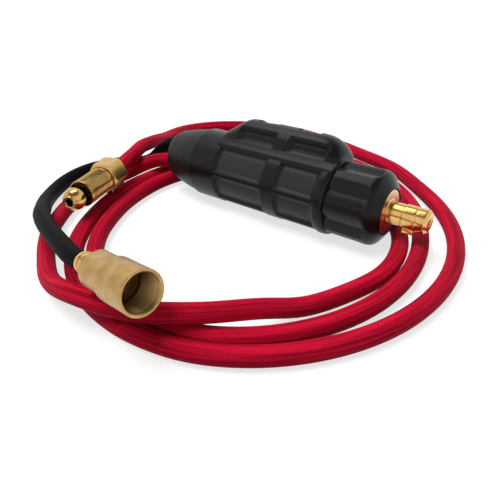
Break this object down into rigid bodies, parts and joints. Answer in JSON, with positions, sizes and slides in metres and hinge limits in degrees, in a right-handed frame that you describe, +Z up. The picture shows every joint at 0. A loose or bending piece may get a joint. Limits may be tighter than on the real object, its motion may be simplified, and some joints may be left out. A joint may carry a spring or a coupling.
{
  "type": "tig torch plug adapter with hose leads",
  "caption": "Bayonet power plug of a water-cooled TIG torch set, with a turning knob, a red hose ending in a male union nut and a black hose ending in a female coupling.",
  "frame": {"origin": "on the surface that the plug rests on, under the middle of the plug's length", "axes": "+X along the plug towards its pin, +Z up"},
  "size_m": [0.2723, 0.2913, 0.0543],
  "materials": {
    "grip": "fine matt moulding grain",
    "boot": "smooth satin rubber",
    "machined_brass": "turned",
    "bright_brass": "polished",
    "cast_brass": "blasted, matt",
    "bronze": "turned",
    "spring_steel": "bright zinc",
    "white_plastic": "moulded",
    "seal_rubber": "moulded",
    "red_braid": "tight braid with a low sheen",
    "black_braid": "tight braid with a low sheen"
  },
  "bodies": {
    "root": {"barrel": "grip", "lobe_cover": "grip", "rear_boot": "boot", "bearing_block": "machined_brass", "bearing_bush": "bronze", "contact_band": "bronze", "thrust_washer": "white_plastic", "hose_manifold": "machined_brass", "manifold_seal": "seal_rubber", "block_screws": "spring_steel", "red_tail": "machined_brass", "red_crimp": "spring_steel", "black_tail": "machined_brass", "black_crimp": "spring_steel", "red_hose": "red_braid", "black_hose": "black_braid", "ball_nipple": "bright_brass", "nut_crimp": "spring_steel", "coupling_tail": "machined_brass", "female_coupling": "cast_brass", "seat_washer": "bronze"},
    "turning_knob": {"knob": "grip", "plug": "machined_brass", "o_rings": "seal_rubber", "retaining_ring": "spring_steel"},
    "spinning_nut": {"union_nut": "bright_brass"}
  },
  "joints": [
    {"name": "knob_turn", "type": "hinge", "parent": "root", "child": "turning_knob", "pos_m": [0.06, 0, 0.0222], "axis": [1, 0, 0], "continuous": true},
    {"name": "nut_spin", "type": "hinge", "parent": "root", "child": "spinning_nut", "pos_m": [-0.09633, -0.06487, 0.02], "axis": [0.3584, -0.9336, 0], "continuous": true}
  ]
}
